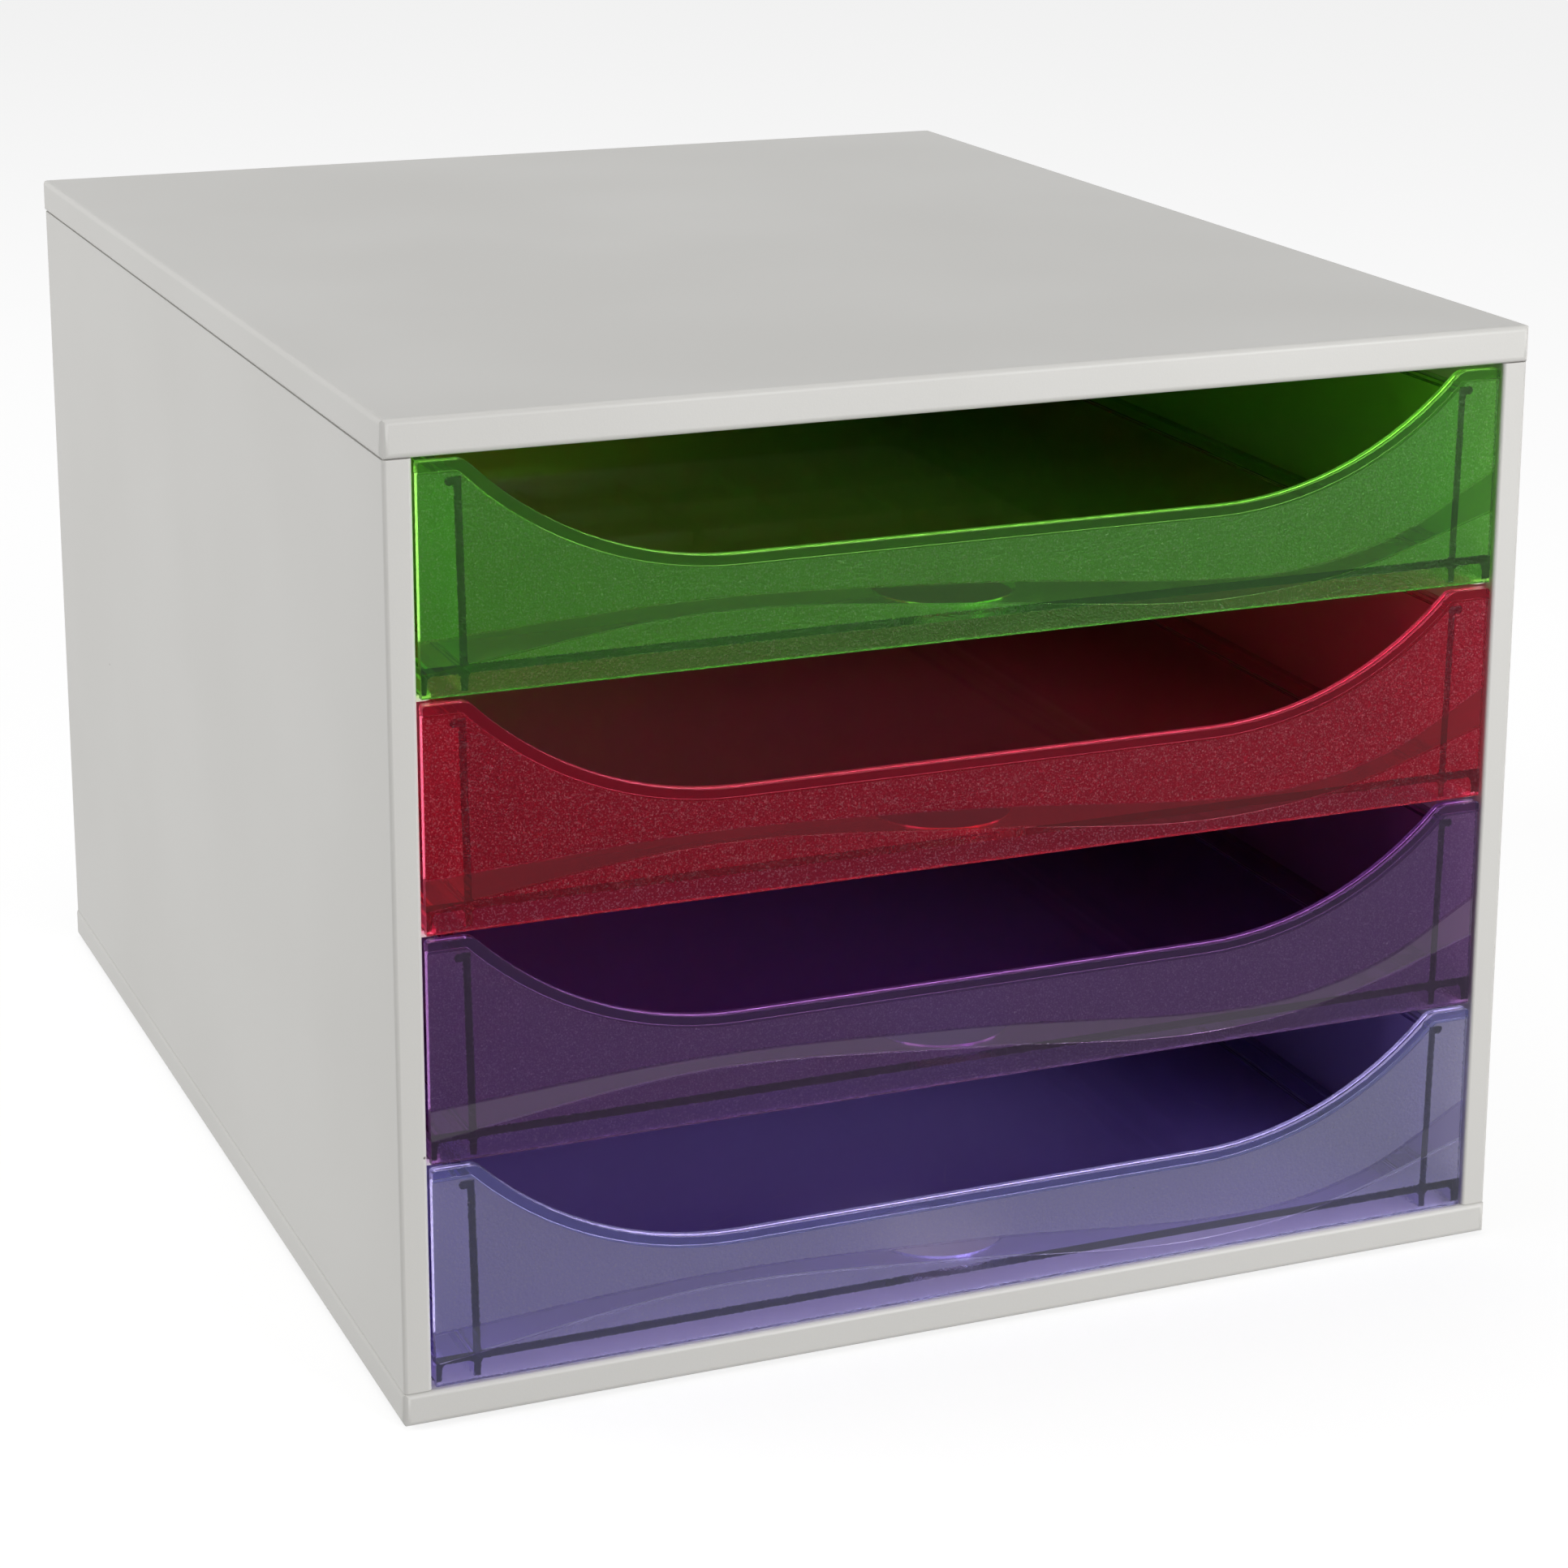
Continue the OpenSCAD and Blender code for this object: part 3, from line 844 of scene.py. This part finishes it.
def bake(obj: bpy.types.Object, group: bpy.types.GeometryNodeTree, **inputs: Any) -> bpy.types.Object:
    """Runs a geometry tree on an object, evens out its normals and keeps the result as its plain mesh.

    Args:
        obj: the object.
        group: the tree.
        inputs: values for the tree's named inputs, with spaces as underscores.

    Returns:
        The same object.
    """
    modifier = obj.modifiers.new(group.name, "NODES")
    modifier.node_group = group
    sockets = {s.name: s.identifier for s in group.interface.items_tree if s.in_out == "INPUT"}
    for name, value in inputs.items():
        modifier[sockets[name.replace("_", " ")]] = value
    flat = obj.modifiers.new("Level flats", "WEIGHTED_NORMAL")
    flat.keep_sharp = True
    bpy.context.view_layer.update()
    done = bpy.data.meshes.new_from_object(obj.evaluated_get(bpy.context.evaluated_depsgraph_get()))
    obj.modifiers.clear()
    obj.data = done
    return obj


def copy_of(node: bpy.types.Object, name: str) -> bpy.types.Object:
    """Copies a CAD node's mesh as a new object at the origin, without its own normals.

    Args:
        node: the CAD node.
        name: the new object's name.

    Returns:
        The new object.
    """
    mesh = node.data.copy()
    mesh.name = name
    if "custom_normal" in mesh.attributes:
        mesh.attributes.remove(mesh.attributes["custom_normal"])
    mesh.materials.clear()
    return add_object(name, mesh)


def add_object(name: str, data: bpy.types.ID) -> bpy.types.Object:
    """Adds an object to the scene.

    Args:
        name: its name.
        data: its mesh, camera or lamp.

    Returns:
        The object.
    """
    obj = bpy.data.objects.new(name, data)
    bpy.context.scene.collection.objects.link(obj)
    return obj


def box_of(obj: bpy.types.Object) -> tuple[Vector, Vector]:
    """Finds the two far corners of an object's mesh.

    Args:
        obj: the object.

    Returns:
        The lowest and the highest corner.
    """
    places = [v.co for v in obj.data.vertices]
    low, high = (Vector([pick(p[i] for p in places) for i in range(3)]) for pick in (min, max))
    return low, high


def flats(mesh: bpy.types.Mesh, look: Look, limit: float = math.inf) -> list[float]:
    """Finds the flats of a mesh that look straight one way.

    Args:
        mesh: the mesh.
        look: which way they look.
        limit: the place along that axis that they lie before.

    Returns:
        Their places along the axis, from the smallest flat to the largest.
    """
    axis, sign = look.value
    areas: dict[float, float] = {}
    for face in mesh.polygons:
        if sign * face.normal[axis] > STRAIGHT and face.center[axis] < limit:
            place = round(face.center[axis], PLACES)
            areas[place] = areas.get(place, 0.0) + face.area
    return sorted(areas, key=areas.__getitem__)


# ---- The object ----


@dataclass
class Case:
    """The five grey panels and the four pads under them."""

    panels: tuple[str, ...] = ("top_panel", "base_panel", "left_side_panel", "right_side_panel", "back_panel")
    pads: tuple[str, ...] = ("front_left_pad", "front_right_pad", "rear_left_pad", "rear_right_pad")
    body: str = "case"
    plastic: CasePlastic = CasePlastic()
    rubber: PadRubber = PadRubber()

    def build(self, nodes: dict[str, bpy.types.Object]) -> list[bpy.types.Object]:
        """Dresses every panel and turns every pad.

        Args:
            nodes: the CAD nodes by name.

        Returns:
            The pieces made.
        """
        grey, rubber = self.plastic.build(), self.rubber.build()
        made = []
        for name in self.panels:
            piece = bake(copy_of(nodes[name], f"{name}_moulding"), moulded_skin(), Finish=grey)
            made.append(self.settle(piece, name))
        for name in self.pads:
            low, high = box_of(nodes[name])
            foot = ((low.x + high.x) / 2, (low.y + high.y) / 2, low.z)
            blank = add_object(f"{name}_moulding", bpy.data.meshes.new(name))
            sizes = {"Radius": (high.x - low.x) / 2, "Height": high.z - low.z}
            piece = bake(blank, ringed_pad(), Centre=foot, Finish=rubber, **sizes)
            made.append(self.settle(piece, name))
        return made

    def settle(self, piece: bpy.types.Object, node: str) -> bpy.types.Object:
        """Puts a piece on the case's body in place of its CAD node.

        Args:
            piece: the piece.
            node: the CAD node's name.

        Returns:
            The same piece.
        """
        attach(piece, self.body)
        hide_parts(node)
        return piece


@dataclass
class Drawer:
    """One translucent tray with its front.

    The front lies within front_zone of the drawer's foremost point. Its outer edges get edge_round in
    edge_steps. Edges that turn less than flat_turn are dissolved, those that turn more than corner_turn
    count as corners, and a flat up to shallow times as deep as the band's step isn't broad. A face whose
    normal has least_step_slope along Z belongs to the band's step, and one with least_ahead along Y is a
    flat of the front.
    """

    node: str
    body: str
    plastic: TrayPlastic
    front_zone: float = 4 * MM
    edge_round: float = 0.45 * MM
    edge_steps: int = 3
    flat_turn: float = math.radians(0.5)
    corner_turn: float = math.radians(70)
    shallow: float = 1.2
    least_step_slope: float = 0.5
    least_ahead: float = 0.99

    def build(self, nodes: dict[str, bpy.types.Object]) -> bpy.types.Object:
        """Makes the tray from its CAD node.

        Args:
            nodes: the CAD nodes by name.

        Returns:
            The piece made.
        """
        piece = copy_of(nodes[self.node], f"{self.node}_moulding")
        front = self.front(piece.data)
        self.soften(piece.data, front.levels)
        bake(piece, moulded_skin(), Finish=self.plastic.build(front))
        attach(piece, self.body)
        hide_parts(self.node)
        return piece

    def front(self, mesh: bpy.types.Mesh) -> FrontPlate:
        """Measures the front.

        Its levels are its three largest flats that look ahead and its largest one that looks back. The
        floor's underside is the tray's largest flat that looks down.

        Args:
            mesh: the tray's mesh.

        Returns:
            Where the front lies.
        """
        limit = min(v.co.y for v in mesh.vertices) + self.front_zone
        others = len(Level) - 1
        ahead = sorted(flats(mesh, Look.AHEAD, limit)[-others:])
        levels = dict(zip(Level, [*ahead, flats(mesh, Look.BACK, limit)[-1]]))
        upper, lower = (self.band_edge(mesh, levels, look) for look in (Look.DOWN, Look.UP))
        return FrontPlate(levels, flats(mesh, Look.DOWN)[-1], upper, lower)

    def band_edge(self, mesh: bpy.types.Mesh, levels: dict[Level, float], look: Look) -> tuple[Vector, ...]:
        """Finds one edge of the polished band, along the step between it and the face.

        Args:
            mesh: the tray's mesh.
            levels: the levels of the front.
            look: where the edge's step looks, down at the upper edge and up at the lower one.

        Returns:
            The edge's points, from left to right.
        """
        axis, sign = look.value
        points: dict[float, Vector] = {}
        for face in mesh.polygons:
            spots = [mesh.vertices[i].co for i in face.vertices]
            on_step = (
                min(spot.y for spot in spots) > levels[Level.FACE] - WELD
                and max(spot.y for spot in spots) < levels[Level.BAND] + WELD
            )
            if on_step and sign * face.normal[axis] > self.least_step_slope:
                for spot in spots:
                    points[round(spot.x, PLACES)] = spot.copy()
        return tuple(points[x] for x in sorted(points))

    def soften(self, mesh: bpy.types.Mesh, levels: dict[Level, float]) -> None:
        """Rounds the outer edges of the front and of its bead, but not the shallow edges of the band.

        Args:
            mesh: the tray's mesh, which is changed.
            levels: the levels of the front.
        """
        work = bmesh.new()
        work.from_mesh(mesh)
        bmesh.ops.remove_doubles(work, verts=work.verts, dist=WELD)
        bmesh.ops.dissolve_limit(work, angle_limit=self.flat_turn, verts=work.verts, edges=work.edges)
        broad = self.shallow * (levels[Level.BAND] - levels[Level.FACE])
        rear = levels[Level.BEAD] + self.front_zone

        def is_outer(edge: bmesh.types.BMEdge) -> bool:
            """Tells whether this is an outer corner of the front between two broad flats.

            Args:
                edge: the edge.

            Returns:
                Whether it is rounded.
            """
            if len(edge.link_faces) != 2 or not edge.is_convex or edge.calc_face_angle() < self.corner_turn:
                return False
            if any(v.co.y > rear for v in edge.verts):
                return False
            depths = [max(v.co.y for v in f.verts) - min(v.co.y for v in f.verts) for f in edge.link_faces]
            ahead = [abs(f.normal.y) > self.least_ahead for f in edge.link_faces]
            return any(ahead) and all(flat or deep > broad for flat, deep in zip(ahead, depths))

        edges = [e for e in work.edges if is_outer(e)]
        bmesh.ops.bevel(
            work, geom=edges, offset=self.edge_round, offset_type="OFFSET", segments=self.edge_steps,
            profile=0.5, affect="EDGES", clamp_overlap=True,
        )
        work.to_mesh(mesh)
        work.free()


# The bead and band colours below are painted shade, with a painted reflection on purple's band; the sparkle
# tone is a painted highlight and also the colour of dust and scratches.
GREEN = TrayPlastic(
    "green",
    clear=(0.60, 0.96, 0.30),
    frost=(0.34, 0.74, 0.19),
    bead=(0.26, 0.56, 0.15),
    band=(0.26, 0.58, 0.15),
    painted_sparkle_and_mark_tone=(0.85, 1.00, 0.65),
    passed=(0.60, 0.995, 0.40),
    sheen=(0.12, 0.26, 0.10),
    transmission=0.97,
    frost_roughness=0.45,
    let_by=0.82,
)
RED = TrayPlastic(
    "red",
    clear=(1.00, 0.34, 0.52),
    frost=(0.60, 0.03, 0.08),
    bead=(0.46, 0.03, 0.06),
    band=(0.40, 0.02, 0.04),
    painted_sparkle_and_mark_tone=(1.00, 0.60, 0.68),
    passed=(0.995, 0.42, 0.52),
    sheen=(0.30, 0.05, 0.08),
    transmission=0.94,
    frost_roughness=0.45,
    let_by=1.0,
)
PURPLE = TrayPlastic(
    "purple",
    clear=(0.58, 0.35, 0.62),
    frost=(0.50, 0.36, 0.60),
    bead=(0.27, 0.19, 0.36),
    band=(0.80, 0.62, 0.90),
    painted_sparkle_and_mark_tone=(0.85, 0.75, 0.90),
    passed=(0.40, 0.22, 0.52),
    sheen=(0.30, 0.19, 0.40),
    transmission=0.975,
    polish=0.7,
    let_by=0.92,
)
BLUE = TrayPlastic(
    "blue",
    clear=(0.61, 0.53, 0.89),
    frost=(0.89, 0.89, 1.00),
    bead=(0.58, 0.64, 1.00),
    band=(0.89, 0.89, 1.00),
    painted_sparkle_and_mark_tone=(1.00, 1.00, 1.00),
    passed=(0.78, 0.76, 0.96),
    sheen=(0.28, 0.30, 0.44),
    transmission=0.965,
    polish=0.5,
    let_by=0.85,
)
DRAWERS = tuple(
    Drawer(f"{plastic.name}_drawer", f"{plastic.name}_tray", plastic) for plastic in (GREEN, RED, PURPLE, BLUE)
)


# ---- The studio ----


@dataclass(frozen=True)
class SoftLamp:
    """One soft square lamp: its centre, the length of its side and its power in watts."""

    kind: Lamp
    place: Place
    side: float
    watts: float

    def build(self, aim: Vector) -> bpy.types.Object:
        """Makes the lamp.

        Args:
            aim: the point that it faces.

        Returns:
            The lamp.
        """
        data = bpy.data.lights.new(self.kind.value, "AREA")
        data.shape, data.size, data.energy = "SQUARE", self.side, self.watts
        obj = add_object(self.kind.value, data)
        place = Vector(self.place)
        turn = (aim - place).to_track_quat("-Z", "Y").to_matrix().to_4x4()
        obj.matrix_world = Matrix.Translation(place) @ turn
        return obj


@dataclass(frozen=True)
class Studio:
    """Pale floor, soft lamps and the camera of the photograph, whose place is in millimetres."""

    place: Place = (-360.8, -934.2, 408.6)
    heading: float = 22.24
    pitch: float = -14.43
    roll: float = 0.15
    focal_pixels: float = 4713.0
    image_pixels: float = 1932.0
    shift_y: float = -0.15
    sensor: float = 36.0
    nearest: float = 0.01
    farthest: float = 100.0
    floor_reach: float = 30.0
    floor_colour: Colour = (0.3, 0.3, 0.3)
    floor_glow: float = 0.8
    sky: float = 0.2
    lamps: tuple[SoftLamp, ...] = (
        SoftLamp(Lamp.KEY, (-1.9, 0.3, 0.7), 1.2, 24.0),
        SoftLamp(Lamp.FILL, (0.85, -1.9, 0.45), 0.9, 34.0),
        SoftLamp(Lamp.OVERHEAD, (0.0, 0.2, 2.0), 1.6, 12.0),
    )

    def build(self, aim: Vector) -> None:
        """Sets up camera, floor, sky and lamps.

        Args:
            aim: the point that the lamps face.
        """
        self.camera()
        self.floor()
        self.world()
        for lamp in self.lamps:
            LOG.info("lit %s", lamp.build(aim).name)

    def camera(self) -> bpy.types.Object:
        """Makes the camera and gives it to the scene.

        Returns:
            The camera.
        """
        data = bpy.data.cameras.new("camera")
        data.sensor_width = self.sensor
        data.lens = self.sensor * self.focal_pixels / self.image_pixels
        data.shift_y = self.shift_y
        data.clip_start, data.clip_end = self.nearest, self.farthest
        obj = add_object("camera", data)
        turn = Euler((math.radians(90 + self.pitch), 0.0, math.radians(-self.heading)), "XYZ").to_matrix()
        turn = turn @ Matrix.Rotation(math.radians(self.roll), 3, "Z")
        obj.matrix_world = Matrix.Translation(Vector(self.place) * MM) @ turn.to_4x4()
        bpy.context.scene.camera = obj
        return obj

    def looked_at(self, tree: Tree) -> Socket:
        """Tells what the camera sees, straight, mirrored or through plastic, from what only lights the rest.

        Args:
            tree: the tree of a material or of the world.

        Returns:
            1 where the camera sees it, and 0 elsewhere.
        """
        rays = tree.add("ShaderNodeLightPath").outputs
        bent = tree.math("MAXIMUM", rays["Is Glossy Ray"], rays["Is Transmission Ray"])
        return tree.math("MAXIMUM", rays["Is Camera Ray"], bent)

    def floor(self) -> bpy.types.Object:
        """Makes the floor, white to the camera but for the object's soft shadow.

        Returns:
            The floor.
        """
        mesh = bpy.data.meshes.new("floor")
        r = self.floor_reach
        mesh.from_pydata([(-r, -r, 0), (r, -r, 0), (r, r, 0), (-r, r, 0)], [], [(0, 1, 2, 3)])
        material = bpy.data.materials.new("floor_white")
        material.use_nodes = True
        material.node_tree.nodes.clear()
        tree = Tree(material.node_tree)
        paint = tree.add("ShaderNodeBsdfDiffuse", None, Color=rgba(self.floor_colour))
        strength = tree.math("MULTIPLY", self.looked_at(tree), self.floor_glow)
        glow = tree.add("ShaderNodeEmission", None, Color=WHITE, Strength=strength)
        both = tree.add("ShaderNodeAddShader", None, in0=paint.outputs[0], in1=glow.outputs[0])
        tree.add("ShaderNodeOutputMaterial", None, Surface=both.outputs[0])
        mesh.materials.append(material)
        obj = add_object("floor", mesh)
        obj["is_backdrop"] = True
        return obj

    def world(self) -> None:
        """Lights everything evenly from a plain sky that is white to the camera."""
        world = bpy.data.worlds.new("studio")
        bpy.context.scene.world = world
        world.use_nodes = True
        world.node_tree.nodes.clear()
        tree = Tree(world.node_tree)
        strength = tree.math("MULTIPLY_ADD", self.looked_at(tree), 1.0 - self.sky, self.sky)
        sky = tree.add("ShaderNodeBackground", None, Color=WHITE, Strength=strength)
        tree.add("ShaderNodeOutputWorld", None, Surface=sky.outputs[0])


def main() -> None:
    """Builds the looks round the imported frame."""
    logging.basicConfig(level=logging.INFO, format="%(name)s: %(message)s")
    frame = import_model()
    cad_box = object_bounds()
    for piece in Case().build(frame["nodes"]):
        LOG.info("made %s", piece.name)
    for drawer in DRAWERS:
        LOG.info("made %s", drawer.build(frame["nodes"]).name)
    Studio().build((cad_box[0] + cad_box[1]) / 2)
    bpy.context.scene.view_settings.view_transform = "Standard"


if __name__ == "__main__":
    main()
